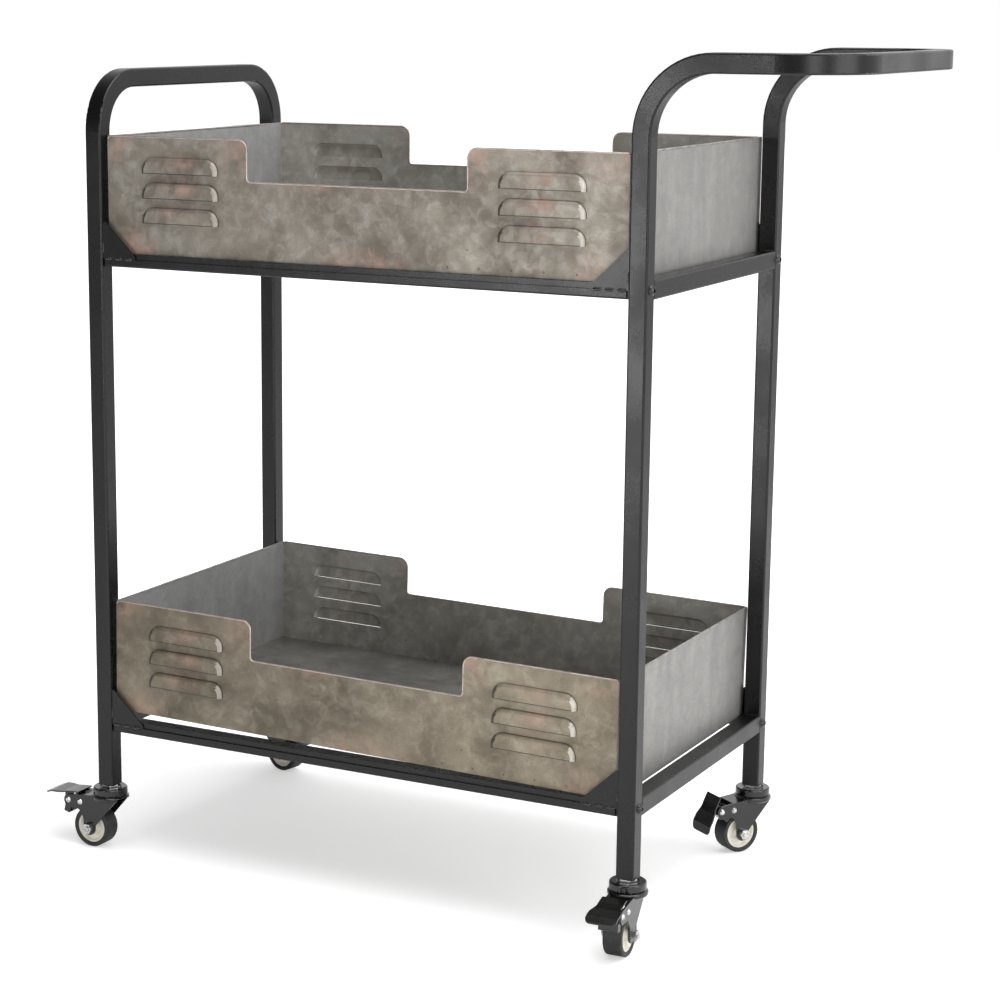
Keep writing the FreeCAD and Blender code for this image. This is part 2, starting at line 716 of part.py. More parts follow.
def race_cup():
    """Pressed upper race cup round the stem, standing clear over the fork's disc."""
    body = new_body("race_cup_pattern")
    profile = new_sketch(body, "XZ_Plane", "race_cup_profile")
    cup = D["cup_radius"]
    stem = D["stem_radius"]
    well = D["stem_flats"] / math.sqrt(3) + 0.8
    outline(profile, [(stem, CUP_WELL), (well, CUP_WELL), (well + 1, CUP_TOP, 0.8),
                      (cup, CUP_TOP, 2), (cup, 62.6), (cup - 1.3, 62.6), (cup - 1.3, CUP_FLOOR),
                      (stem, CUP_FLOOR)])
    revolve(body, profile)
    return body


def stem_nut():
    """Hexagon nut that clamps the stem to the post's lower end."""
    body = new_body("stem_nut_pattern")
    face = new_sketch(body, "XY_Plane", "stem_nut_face", CUP_WELL)
    hexagon(face, 0, 0, D["stem_flats"])
    pad(body, face, D["post_foot"] - CUP_WELL, symmetric=False)
    bore = new_sketch(body, "XY_Plane", "stem_nut_bore", CUP_WELL)
    circle(bore, 0, 0, D["stem_radius"])
    pocket(body, bore, 20)
    return body


def ball_ring():
    """The balls of the swivel race, as separate solids."""
    ball = doc.addObject("Part::Sphere", "race_ball")
    bind(ball, "Radius", D["ball_radius"])
    doc.recompute()
    height = (CUP_FLOOR + RACE_TOP) / 2
    ring = []
    for i in range(BALL_COUNT):
        angle = 2 * math.pi * i / BALL_COUNT
        radius = D["ball_circle"].value
        ring.append(placed(ball.Shape, at(radius * math.cos(angle), radius * math.sin(angle), height)))
    doc.removeObject(ball.Name)
    return ring


def caster_fork(label):
    """Pressed fork: race disc on top, two legs down to the axle and two ears out to the brake."""
    body = new_body(label)
    axle_x = D["axle_trail"]
    axle_z = D["wheel_radius"]
    pivot_x = D["pivot_x"]
    pivot_z = D["pivot_z"]
    ear = 5.4
    boss = 7.6
    side = new_sketch(body, "XZ_Plane", label + "_side")
    outline(side, [(-15, 59.6), (-15, 56.5), (axle_x - boss, 25, 4),
                   (axle_x - boss, axle_z - boss - 0.6, boss - 0.2),
                   (axle_x + boss, axle_z - boss - 0.6, boss - 0.2), (axle_x + boss, 33, 3),
                   (33.5, 41.8, 3), (50.0, 41.8, 2), (pivot_x + ear, 48.0, 2),
                   (pivot_x + ear, pivot_z + ear, ear - 0.1), (36, 57.6), (14, 60)])
    pad(body, side, D["fork_width"])
    disc = new_sketch(body, "XZ_Plane", label + "_disc")
    race = D["race_radius"]
    outline(disc, [(0, RACE_TOP), (race - 2.2, RACE_TOP), (race, RACE_TOP - 1.3, 1), (race, 57, 1),
                   (race - 1.6, 55.6), (race - 3, 55.6), (race - 3.2, RACE_TOP - RACE_PLATE),
                   (0, RACE_TOP - RACE_PLATE)])
    revolve(body, disc)
    inside = new_sketch(body, "XZ_Plane", label + "_inside")
    outline(inside, [(-25, RACE_TOP - RACE_PLATE), (15, RACE_TOP - RACE_PLATE), (15, 57.6), (33, 55.7),
                     (33, 70), (60, 70), (60, 5), (-25, 5)])
    pocket(body, inside, D["fork_inner"])
    pin_hole = new_sketch(body, "XY_Plane", label + "_pin_hole", RACE_TOP - 5)
    circle(pin_hole, 0, 0, D["kingpin_radius"] + 0.1)
    pocket(body, pin_hole, 20)
    holes = new_sketch(body, "XZ_Plane", label + "_holes")
    circle(holes, axle_x, axle_z, D["bolt_radius"])
    circle(holes, pivot_x, pivot_z, D["pin_radius"])
    circle(holes, D["tie_pin_x"], pivot_z, D["pin_radius"])
    pocket(body, holes, D["fork_width"] * 2)
    return body


def axle_bolt(label):
    """Hexagon-head axle bolt, and its nut as a separate solid."""
    half = D["fork_width"] / 2
    shank = doc.addObject("Part::Cylinder", label + "_shank")
    bind(shank, "Radius", D["bolt_radius"])
    bind(shank, "Height", D["fork_width"] + 7)
    head = doc.addObject("Part::Prism", label + "_head")
    nut_block = doc.addObject("Part::Prism", label + "_nut_block")
    for prism, height in ((head, 4), (nut_block, 5)):
        prism.Polygon = 6
        bind(prism, "Circumradius", D["nut_flats"] / math.sqrt(3))
        bind(prism, "Height", height)
    along_y = Rotation(Vector(1, 0, 0), -90)
    shank.Placement = Placement(Vector(0, -half.value, 0), along_y)
    head.Placement = Placement(Vector(0, -half.value - 4, 0), along_y)
    nut_block.Placement = Placement(Vector(0, half.value, 0), along_y)
    bolt = doc.addObject("Part::Fuse", label + "_bolt")
    bolt.Base = shank
    bolt.Tool = head
    bore = doc.addObject("Part::Cylinder", label + "_nut_bore")
    bind(bore, "Radius", D["bolt_radius"])
    bind(bore, "Height", 10)
    bore.Placement = Placement(Vector(0, half.value - 2, 0), along_y)
    nut = doc.addObject("Part::Cut", label + "_nut")
    nut.Base = nut_block
    nut.Tool = bore
    both = doc.addObject("Part::Compound", label)
    both.Links = [bolt, nut]
    return both


def pin_pattern():
    """Headed pin through both sides of the fork, its axis along Y."""
    body = new_body("brake_pin_pattern")
    half = D["fork_width"] / 2
    radius = D["pin_radius"]
    profile = new_sketch(body, "XY_Plane", "brake_pin_profile")
    outline(profile, [(0, -half - 1.6), (radius, -half - 1.3), (radius + 1.1, -half), (radius, -half),
                      (radius, half), (radius + 1.1, half), (radius, half + 1.3), (0, half + 1.6)])
    revolve(body, profile)
    return body


def brake_pedal(label):
    """Pressed pedal with two ears on the brake pin and a shoe that meets the tyre when down."""
    body = new_body(label)
    thick = D["pedal_sheet"]
    pivot_x = D["pivot_x"]
    pivot_z = D["pivot_z"]
    crests = [(34, 59.4), (44, 58.8), (54, 57.6), (62, 57.4), (68, 57.2), (77, 54.0)]
    ear_outer = D["fork_inner"] - 0.8
    shoe_width = ear_outer - thick * 2
    ears = new_sketch(body, "XZ_Plane", label + "_ears")
    outline(ears, [(42.2, 59.2), (42.2, 44.6, 5.1), (52.8, 44.6, 5.1), (52.8, 58.4)])
    pad(body, ears, ear_outer)
    between = new_sketch(body, "XZ_Plane", label + "_between")
    rectangle(between, 30, 60, 40, 70)
    pocket(body, between, shoe_width)
    shoe = new_sketch(body, "XZ_Plane", label + "_shoe")
    reach = D["shoe_reach"]
    tip = [math.radians(angle) for angle in (-88.0, -61.0)]
    outline(shoe, [(pivot_x - 3.4, pivot_z + 2, 2),
                   (pivot_x + reach * math.cos(tip[0]), pivot_z + reach * math.sin(tip[0]), 1),
                   (pivot_x + reach * math.cos(tip[1]), pivot_z + reach * math.sin(tip[1]), 1),
                   (pivot_x + 4.2, pivot_z + 2, 2)])
    pad(body, shoe, shoe_width + thick)
    strip = new_sketch(body, "XZ_Plane", label + "_strip")
    upper = [(x, z + thick, 2) for x, z in reversed(crests[1:-1])]
    lower = [(x, z, 2) for x, z in crests[1:-1]]
    outline(strip, [crests[0]] + lower + [crests[-1], (crests[-1][0], crests[-1][1] + thick)] + upper
            + [(crests[0][0], crests[0][1] + thick)])
    pad(body, strip, D["pedal_width"])
    for side in (-1, 1):
        trim = new_sketch(body, "XY_Plane", "%s_trim_%s" % (label, "near" if side < 0 else "far"), 40)
        outer = D["pedal_width"] / 2 + 2
        waist = D["fork_width"] / 2 - 0.6
        tip = crests[-1][0]
        outline(trim, [(30, outer * side), (30, waist * side), (50, waist * side, 8),
                       (60, (outer - 2) * side, 8), (tip, (outer - 2) * side, 6),
                       (tip, waist * 0.4 * side), (84, waist * 0.4 * side), (84, outer * side)])
        pocket(body, trim, 60, symmetric=True)
    hole = new_sketch(body, "XZ_Plane", label + "_pin_hole")
    circle(hole, pivot_x, pivot_z, D["pin_radius"] + D["axle_gap"])
    pocket(body, hole, D["pedal_width"] * 2)
    return body


def wheel_core(label):
    """Moulded wheel centre with a dished face on each side, about the axle along Y."""
    body = new_body(label)
    hub = D["hub_width"] / 2
    rim = D["core_width"] / 2
    edge = D["rim_radius"]
    hub_radius = D["hub_radius"]
    profile = new_sketch(body, "XY_Plane", label + "_profile")
    bore = D["bolt_radius"] + D["axle_gap"]
    outline(profile, [(bore, -hub), (hub_radius, -hub), (hub_radius, -rim + 1.2),
                      (hub_radius + 3, -rim + 2.6), (edge - 3.4, -rim + 2.0, 1), (edge - 1.8, -rim),
                      (edge, -rim), (edge, rim), (edge - 1.8, rim), (edge - 3.4, rim - 2.0, 1),
                      (hub_radius + 3, rim - 2.6), (hub_radius, rim - 1.2), (hub_radius, hub),
                      (bore, hub)])
    revolve(body, profile)
    return body


def tyre(label):
    body = new_body(label)
    outer = D["wheel_radius"]
    seat = D["rim_radius"]
    half = D["wheel_width"] / 2
    profile = new_sketch(body, "XY_Plane", label + "_profile")
    outline(profile, [(seat, -half + 0.8), (seat + 1.0, -half), (outer, -half, 1.5),
                      (outer, half, 1.5), (seat + 1.0, half), (seat, half - 0.8)])
    revolve(body, profile)
    return body


def casters():
    pin = pin_pattern()
    cup = race_cup()
    nut = stem_nut()
    balls = ball_ring()
    doc.recompute()
    posts = [at(sx * HALF_X.value, sy * HALF_Y.value, 0) for sx, sy in corner_signs()]
    group("caster_cups", [placed(cup.Shape, post) for post in posts])
    group("stem_nuts", [placed(nut.Shape, post) for post in posts])
    pivot = Vector(D["pivot_x"].value, 0, D["pivot_z"].value)
    axle = at(D["axle_trail"].value, 0, D["wheel_radius"].value)
    pins = [placed(pin.Shape, at(x.value, 0, D["pivot_z"].value)) for x in (D["pivot_x"], D["tie_pin_x"])]
    for name, state in CASTERS.items():
        prefix = "caster_%s_" % name
        post = at(state["side_x"] * HALF_X.value, state["side_y"] * HALF_Y.value, 0, state["swivel"])
        pressed = Placement(Vector(0, 0, 0), Rotation(Vector(0, 1, 0), state["pedal"]), pivot)
        keep(prefix + "stem", caster_stem(prefix + "stem"), post)
        keep(prefix + "fork", caster_fork(prefix + "fork"), post)
        group(prefix + "balls", [placed(ball, post) for ball in balls])
        keep(prefix + "axle", axle_bolt(prefix + "axle"), post.multiply(axle))
        group(prefix + "pins", [placed(solid, post) for solid in pins])
        keep(prefix + "pedal", brake_pedal(prefix + "pedal"), post.multiply(pressed))
        keep(prefix + "core", wheel_core(prefix + "core"), post.multiply(axle))
        keep(prefix + "tyre", tyre(prefix + "tyre"), post.multiply(axle))


# ---------------------------------------------------------------- assembly

def stand_on_origin():
    """Move every sub-part so that the middle of the whole cart's footprint is the origin."""
    whole = Part.Compound([thing.Shape for thing in parts.values()]).optimalBoundingBox()
    shift = Vector(-(whole.XMin + whole.XMax) / 2, -(whole.YMin + whole.YMax) / 2, -whole.ZMin)
    for thing in parts.values():
        thing.Placement = Placement(shift, Rotation()).multiply(thing.Placement)
    doc.recompute()
    return shift


def check_model():
    """Stop on a failed feature or a shape that is empty or not valid."""
    faults = ["%s: %s" % (thing.Label, thing.State) for thing in doc.Objects
              if "Invalid" in thing.State or "Error" in thing.State]
    for label, thing in parts.items():
        if thing.Shape.isNull() or not thing.Shape.isValid() or not thing.Shape.Solids:
            faults.append(label + ": bad shape")
    if faults:
        raise RuntimeError("; ".join(faults))


def write_parts():
    os.makedirs("parts", exist_ok=True)
    for label, thing in parts.items():
        thing.Shape.exportStep("parts/%s.step" % label)


low_end_frame()
handle_end_frame()
end_rails()
long_rails()
corner_brackets()
frame_fasteners()
post_plugs()
trays()
casters()
doc.recompute()
shift = stand_on_origin()
check_model()
write_parts()
box = Part.Compound([thing.Shape for thing in parts.values()]).optimalBoundingBox()
print("nodes %d, origin shift %.3f %.3f %.3f" % (len(parts), shift.x, shift.y, shift.z))
print("size %.1f x %.1f x %.1f" % (box.XLength, box.YLength, box.ZLength))
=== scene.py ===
import math

import bmesh
import bpy
from mathutils import Matrix, Vector


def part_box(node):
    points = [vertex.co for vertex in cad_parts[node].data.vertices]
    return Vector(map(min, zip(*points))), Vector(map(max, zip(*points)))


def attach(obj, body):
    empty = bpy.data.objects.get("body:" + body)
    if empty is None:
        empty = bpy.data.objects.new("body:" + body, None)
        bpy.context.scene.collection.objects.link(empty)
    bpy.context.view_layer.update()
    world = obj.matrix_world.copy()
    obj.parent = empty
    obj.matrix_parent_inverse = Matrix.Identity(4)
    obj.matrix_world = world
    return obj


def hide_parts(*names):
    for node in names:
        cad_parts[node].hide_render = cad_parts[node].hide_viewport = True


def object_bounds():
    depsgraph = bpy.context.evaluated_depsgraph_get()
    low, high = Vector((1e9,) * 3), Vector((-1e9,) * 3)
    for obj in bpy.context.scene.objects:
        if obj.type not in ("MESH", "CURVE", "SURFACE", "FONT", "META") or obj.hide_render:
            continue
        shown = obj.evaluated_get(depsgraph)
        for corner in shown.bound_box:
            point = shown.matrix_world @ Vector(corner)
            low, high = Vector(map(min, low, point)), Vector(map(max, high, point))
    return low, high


# Bar cart on casters, in metres: +X towards the handle, -Y towards its front, +Z up.

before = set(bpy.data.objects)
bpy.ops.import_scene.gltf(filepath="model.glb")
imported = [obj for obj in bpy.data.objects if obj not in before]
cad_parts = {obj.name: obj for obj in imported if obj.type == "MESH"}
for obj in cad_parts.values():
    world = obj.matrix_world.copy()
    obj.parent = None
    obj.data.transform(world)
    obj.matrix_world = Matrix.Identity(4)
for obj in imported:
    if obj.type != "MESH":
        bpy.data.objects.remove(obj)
cad_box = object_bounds()

TUBE = 0.019
SHEET = 0.001
NOTCH_HALF = 0.124
NOTCH_DEPTH = 0.042
NOTCH_TOP_RADIUS = 0.010
NOTCH_FOOT_RADIUS = 0.004
PANEL_TIP_RADIUS = 0.003
PANEL_HEIGHT = 0.121
LOUVER_X = 0.204
LOUVER_FEET = (0.0325, 0.058, 0.0835)
LOUVER_HALF = 0.046
LOUVER_RISE = 0.0165
LOUVER_DEPTH = 0.0048
LOUVER_LIP = 0.0009
LOUVER_DRAFT = 0.85
LOUVER_BEND = 0.80
LOUVER_SHEET = SHEET * 0.8
FLOOR_TOP = 0.004
WELD_SPOTS = 17
WELD_SPAN = 0.94
OUTER_SPOTS_FROM = 0.6
SPOT_INNER_HEIGHT = 0.006
SPOT_OUTER_HEIGHT = 0.0055
HEM_RADIUS = 0.0009
SEAM_RADIUS = 0.0007
END_HEM_RADIUS = 0.0012
STEP_RISE = 0.00812
BRACKET_BEADS = (0.007, 0.0195, 0.032)
BRACKET_BEAD_HALF = 0.0045
BRACKET_BEAD_RADIUS = 0.0021
UPRIGHT_BEAD = (0.006, 0.017)
UPRIGHT_BEAD_RADIUS = 0.0010
RAIL_BEAD_RADIUS = 0.0011
RAIL_BEAD_INSET = 0.0006
RAIL_BEAD_END = 0.002
SINK = 0.0002
COPPER = (0.50, 0.315, 0.25)
PIT = (0.05, 0.045, 0.04)


# ------------------------------------------------------------------ material graphs

class Graph:
    """Short calls for building one material's nodes."""

    def __init__(self, name):
        self.material = bpy.data.materials.new(name)
        self.material.use_nodes = True
        self.tree = self.material.node_tree
        self.shader = self.tree.nodes["Principled BSDF"]

    def add(self, kind, inputs=(), **settings):
        node = self.tree.nodes.new("ShaderNode" + kind)
        for key, value in settings.items():
            setattr(node, key, value)
        for key, value in dict(inputs).items():
            self.put(node, key, value)
        return node

    def put(self, node, key, value):
        socket = node.inputs[key]
        if isinstance(value, bpy.types.NodeSocket):
            self.tree.links.new(value, socket)
        elif isinstance(value, tuple) and len(value) == 3 and socket.type == "RGBA":
            socket.default_value = value + (1.0,)
        else:
            socket.default_value = value

    def finish(self, **inputs):
        for key, value in inputs.items():
            self.put(self.shader, key.replace("_", " "), value)
        return self.material

    def where(self, kind="Object"):
        return self.add("TexCoord").outputs[kind]

    def stretch(self, vector, scale=(1, 1, 1), turn=(0, 0, 0), shift=(0, 0, 0)):
        inputs = {"Vector": vector, "Scale": scale, "Rotation": turn, "Location": shift}
        return self.add("Mapping", inputs).outputs["Vector"]

    def noise(self, vector, scale, detail=4.0, rough=0.55, warp=0.0):
        inputs = {"Vector": vector, "Scale": scale, "Detail": detail, "Roughness": rough, "Distortion": warp}
        return self.add("TexNoise", inputs).outputs["Fac"]

    def cells(self, vector, scale, feature="F1", output="Distance"):
        node = self.add("TexVoronoi", {"Vector": vector, "Scale": scale}, feature=feature)
        return node.outputs[output]

    def remap(self, value, low, high, to_low=0.0, to_high=1.0, smooth=True):
        kind = "SMOOTHSTEP" if smooth else "LINEAR"
        inputs = {"Value": value, "From Min": low, "From Max": high, "To Min": to_low, "To Max": to_high}
        return self.add("MapRange", inputs, interpolation_type=kind).outputs["Result"]

    def math(self, kind, a, b=0.0):
        node = self.add("Math", operation=kind)
        self.put(node, 0, a)
        self.put(node, 1, b)
        return node.outputs[0]

    def mix(self, factor, a, b, blend="MIX"):
        node = self.add("Mix", data_type="RGBA", blend_type=blend)
        self.put(node, 0, factor)
        self.put(node, 6, a)
        self.put(node, 7, b)
        return node.outputs[2]

    def spot(self, vector, centre, reach, edge=0.5):
        """1 at a place, falling to 0 at reach (x, y, z) from it; reach 0 ignores that axis."""
        scale = tuple(0.0 if size == 0 else 1.0 / size for size in reach)
        shift = tuple(-c * s for c, s in zip(centre, scale))
        moved = self.stretch(vector, scale=scale, shift=shift)
        distance = self.add("VectorMath", {0: moved}, operation="LENGTH").outputs["Value"]
        return self.remap(distance, edge, 1.0, 1.0, 0.0)

    def bump(self, height, distance, strength=1.0, normal=None):
        inputs = {"Height": height, "Distance": distance, "Strength": strength}
        if normal is not None:
            inputs["Normal"] = normal
        return self.add("Bump", inputs).outputs["Normal"]


def powder_black(name, base=0.012, lift=0.022, rough=0.36, coat=0.0):
    """Satin black powder coat: fine orange peel, faint dust and worn, greyer patches."""
    g = Graph(name)
    place = g.where()
    peel = g.noise(place, 900.0, 3.0)
    patches = g.noise(place, 14.0, 6.0, 0.6)
    scuff = g.noise(g.stretch(place, scale=(60, 60, 900)), 1.0, 5.0, 0.65)
    speck = g.remap(g.noise(place, 420.0, 2.0, 0.7), 0.66, 0.74)
    worn = g.math("MULTIPLY", g.remap(patches, 0.45, 0.72), g.remap(scuff, 0.42, 0.7))
    tone = g.mix(worn, (base, base, base * 1.06), (lift, lift, lift * 1.08))
    tone = g.mix(g.math("MULTIPLY", speck, 0.35), tone, (lift * 2.2, lift * 2.2, lift * 2.2))
    shine = g.math("ADD", g.remap(patches, 0.3, 0.75, rough - 0.06, rough + 0.09),
                   g.math("MULTIPLY", g.math("SUBTRACT", peel, 0.5), 0.12))
    normal = g.bump(peel, 0.00018, 0.5)
    normal = g.bump(patches, 0.0012, 0.25, normal)
    return g.finish(Base_Color=tone, Roughness=shine, Normal=normal, Specular_IOR_Level=0.45,
                    Coat_Weight=coat, Coat_Roughness=0.12)


def zinc_tone(g, place, dark, middle, light, patchy=1.0):
    """Cloudy aged galvanising: soft patches, a mottle of dull crystals and fine grain."""
    bend = g.add("TexNoise", {"Vector": place, "Scale": 40.0, "Detail": 2.0}).outputs["Color"]
    bent = g.add("VectorMath", {0: bend, "Scale": 0.022}, operation="SCALE").outputs["Vector"]
    bent = g.add("VectorMath", {0: place, 1: bent}, operation="ADD").outputs["Vector"]
    clouds = g.noise(place, 13.0, 6.0, 0.62, 0.4)
    mottle = g.noise(bent, 62.0, 5.0, 0.6, 0.3)
    patches = g.noise(g.stretch(place, shift=(3.1, 1.7, 0.4)), 6.0, 3.0, 0.5)
    crystal = g.add("TexVoronoi", {"Vector": bent, "Scale": 110.0, "Smoothness": 0.7}, feature="SMOOTH_F1")
    crystal = g.add("SeparateColor", {"Color": crystal.outputs["Color"]}).outputs["Red"]
    edges = g.remap(g.cells(bent, 52.0), 0.10, 0.60, 1.0, 0.0)
    grain = g.noise(place, 520.0, 4.0, 0.72)
    tone = g.mix(g.remap(clouds, 0.34, 0.66), dark, middle)
    tone = g.mix(g.math("MULTIPLY", g.remap(mottle, 0.48, 0.72), 0.24 * patchy), tone, light)
    glint = g.math("MULTIPLY", g.remap(crystal, 0.50, 0.78), g.remap(patches, 0.42, 0.62))
    tone = g.mix(g.math("MULTIPLY", glint, 0.17 * patchy), tone, light)
    rims = g.math("MULTIPLY", edges, g.remap(patches, 0.5, 0.66))
    tone = g.mix(g.math("MULTIPLY", rims, 0.26 * patchy), tone, light)
    shade = g.math("MULTIPLY", g.remap(grain, 0.3, 0.7, 0.86, 1.13, False),
                   g.remap(mottle, 0.25, 0.75, 0.88, 1.10, False))
    tone = g.add("VectorMath", {0: tone, "Scale": shade}, operation="SCALE").outputs["Vector"]
    return tone, clouds, mottle, grain


def aged_panel(name, dark, middle, light, copper_share, shift=0.0):
    """Face of a front or back panel; its UV map is metres from the panel's middle foot."""
    g = Graph(name)
    place = g.where("UV")
    height = PANEL_HEIGHT
    tone, clouds, mottle, grain = zinc_tone(g, g.stretch(place, shift=(shift, 0, 0)), dark, middle, light)
    along = g.add("SeparateXYZ", {"Vector": place}).outputs["X"]
    # Painted light: the colour grows up to 1.42 times lighter towards the panel's own +X end, the right end
    # of a front panel, for light falling from the right.
    painted_light_ramp = g.remap(along, -0.15, 0.30, 0.97, 1.42)
    tone = g.add("VectorMath", {0: tone, "Scale": painted_light_ramp}, operation="SCALE").outputs["Vector"]
    copper_spots = [((-0.292, height), (0.045, 0.040)), ((0.292, height), (0.060, 0.042)),
                    ((-NOTCH_HALF - 0.006, height), (0.034, 0.048)),
                    ((NOTCH_HALF + 0.006, height), (0.034, 0.050)),
                    ((-0.262, 0.004), (0.045, 0.030)), ((0.262, 0.004), (0.048, 0.032)),
                    ((-0.055, height - NOTCH_DEPTH), (0.060, 0.012)), ((0.015, 0.0), (0.070, 0.026))]
    for side in (-1, 1):
        for foot in LOUVER_FEET:
            copper_spots.append(((side * LOUVER_X, foot + 0.012), (0.034, 0.013)))
    copper = None
    for (x, z), (wide, tall) in copper_spots:
        spot = g.spot(place, (x, z, 0.0), (wide, tall, 0.0), 0.1)
        copper = spot if copper is None else g.math("MAXIMUM", copper, spot)
    ragged = g.remap(g.noise(place, 55.0, 5.0, 0.62), 0.32, 0.66)
    blotch = g.math("MULTIPLY", copper, ragged)
    tone = g.mix(g.math("MULTIPLY", blotch, copper_share), tone, COPPER)
    pits = g.remap(g.cells(place, 46.0), 0.035, 0.055, 1.0, 0.0)
    rare = g.remap(g.noise(g.stretch(place, shift=(7.7, 2.2, 0)), 30.0, 2.0), 0.60, 0.64)
    tone = g.mix(g.math("MULTIPLY", g.math("MULTIPLY", pits, rare), 0.75), tone, PIT)
    rough = g.remap(clouds, 0.3, 0.75, 0.60, 0.42)
    normal = g.bump(grain, 0.00022, 0.35)
    normal = g.bump(mottle, 0.0006, 0.35, normal)
    return g.finish(Base_Color=tone, Metallic=0.35, Roughness=rough, Normal=normal)


def plain_zinc(name, dark, middle, light, grain_scale):
    """Undecorated galvanised sheet with faint rolling streaks along grain_scale's small axis."""
    g = Graph(name)
    place = g.where()
    tone = zinc_tone(g, place, dark, middle, light, 0.35)[0]
    streak = g.noise(g.stretch(place, scale=grain_scale), 1.0, 4.0, 0.6)
    weave = g.noise(g.stretch(place, scale=tuple(900.0 if s < 100 else 250.0 for s in grain_scale)), 1.0, 2.0)
    shade = g.math("ADD", g.remap(streak, 0.3, 0.7, 0.94, 1.05, False),
                   g.math("MULTIPLY", g.math("SUBTRACT", weave, 0.5), 0.10))
    tone = g.add("VectorMath", {0: tone, "Scale": shade}, operation="SCALE").outputs["Vector"]
    normal = g.bump(weave, 0.00015, 0.4)
    normal = g.bump(streak, 0.0003, 0.25, normal)
    rough = g.remap(streak, 0.3, 0.7, 0.52, 0.40)
    return g.finish(Base_Color=tone, Metallic=0.35, Roughness=rough, Normal=normal)


def metal(name, tone, dark, rough, scale=160.0):
    """Plated metal with small stains and fine turning marks."""
    g = Graph(name)
    place = g.where()
    stain = g.noise(place, scale, 4.0, 0.6)
    marks = g.noise(g.stretch(place, scale=(2600, 2600, 500)), 1.0, 2.0)
    mixed = g.mix(g.remap(stain, 0.42, 0.7), tone, dark)
    shine = g.remap(stain, 0.3, 0.7, rough, rough + 0.16)
    return g.finish(Base_Color=mixed, Metallic=1.0, Roughness=shine, Normal=g.bump(marks, 0.00005, 0.4))


def moulded(name, tone, dark, rough, grain=1500.0):
    """Moulded plastic or rubber with a fine skin texture and faint dirt."""
    g = Graph(name)
    place = g.where()
    dirt = g.noise(place, 110.0, 5.0, 0.6)
    skin = g.noise(place, grain, 2.0)
    mixed = g.mix(g.remap(dirt, 0.45, 0.75), tone, dark)
    shine = g.remap(dirt, 0.3, 0.7, rough, rough + 0.12)
    return g.finish(Base_Color=mixed, Roughness=shine, Normal=g.bump(skin, 0.00008, 0.4))


BLACK = powder_black("satin_black_coat", 0.0028, 0.0055, 0.28)
GLOSS = powder_black("gloss_black_plate", 0.004, 0.009, 0.17, 0.6)
BOLTS = powder_black("black_oxide", 0.008, 0.03, 0.22, 0.3)
PANELS = {
    "upper_tray": aged_panel("aged_galvanised_upper", (0.146, 0.124, 0.098), (0.250, 0.224, 0.186),
                             (0.45, 0.435, 0.395), 0.66),
    "lower_tray": aged_panel("aged_galvanised_lower", (0.135, 0.112, 0.078), (0.228, 0.196, 0.143),
                             (0.38, 0.355, 0.285), 0.50, 1.7),
}
# Painted light: a lighter, less copper-stained copy of the panel finish for the panels' inner faces, standing
# in for the light that falls inside the trays.
INNER_FACE_LIT = aged_panel("inner_face_painted_light", (0.24, 0.228, 0.20), (0.345, 0.332, 0.30), (0.54, 0.53, 0.50), 0.15)
INSIDE = plain_zinc("floor_galvanised", (0.20, 0.195, 0.18), (0.31, 0.305, 0.29),
                    (0.46, 0.46, 0.45), (24, 24, 6))
LOW_END = plain_zinc("low_end_galvanised", (0.31, 0.31, 0.312), (0.37, 0.37, 0.375),
                     (0.47, 0.47, 0.48), (30, 30, 5))
END = plain_zinc("end_galvanised", (0.285, 0.28, 0.268), (0.325, 0.32, 0.308),
                 (0.39, 0.385, 0.375), (30, 30, 5))
# Painted shade: a dark copy of the panel finish for the shade at the louvers' feet, mouths, rims and left
# ends and in the outer spot-weld dimples.
PAINTED_SHADE = aged_panel("painted_shade_zinc", (0.050, 0.043, 0.034), (0.085, 0.076, 0.062), (0.14, 0.135, 0.12), 0.1)
# Painted highlight: a light copy of the panel finish on the louvers' right curved ends.
PAINTED_HIGHLIGHT = aged_panel("painted_highlight_zinc", (0.34, 0.31, 0.27), (0.44, 0.41, 0.36), (0.60, 0.58, 0.54), 0.2)
# Lighter metal along the panels' rolled hems and cut sheet edges.
HEM = metal("light_sheet_edge", (0.58, 0.50, 0.455), (0.43, 0.36, 0.325), 0.36, 120.0)
SEAM = metal("seam_zinc", (0.47, 0.455, 0.43), (0.33, 0.315, 0.29), 0.42, 90.0)
BRIGHT = metal("bright_zinc", (0.75, 0.75, 0.75), (0.45, 0.44, 0.42), 0.2)
STEEL = metal("turned_steel", (0.42, 0.42, 0.43), (0.24, 0.23, 0.22), 0.32)
CREAM = moulded("cream_core", (0.86, 0.83, 0.74), (0.66, 0.60, 0.48), 0.36)
RUBBER = moulded("black_rubber", (0.016, 0.016, 0.017), (0.04, 0.038, 0.035), 0.42)


def dress(node, material):
    """Give a CAD node its material."""
    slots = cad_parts[node].material_slots
    for entry in slots:
        entry.link = "OBJECT"
        entry.material = material


def material_of(node):
    """The material that a CAD node is made of or coated with."""
    if node.startswith(("weld_nuts", "frame_bolts")):
        return BOLTS
    if node.endswith(("_axle", "_pins", "_balls")) or node == "stem_nuts":
        return BRIGHT
    if node.endswith("_stem") or node == "post_plugs":
        return STEEL
    if node.endswith(("_fork", "_pedal")) or node == "caster_cups":
        return GLOSS
    if node.endswith("_core"):
        return CREAM
    if node.endswith("_tyre"):
        return RUBBER
    if node.endswith("_floor"):
        return INSIDE
    if node.endswith("_low_panel"):
        return LOW_END
    if "tray" in node:
        return END
    return BLACK


for node_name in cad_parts:
    dress(node_name, material_of(node_name))


# ------------------------------------------------------------------ camera, light, floor

low_lo, low_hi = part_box("low_end_frame")
handle_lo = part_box("handle_end_frame")[0]
middle = Vector(((low_lo.x + handle_lo.x + TUBE) / 2, (low_lo.y + low_hi.y) / 2, cad_box[0].z))


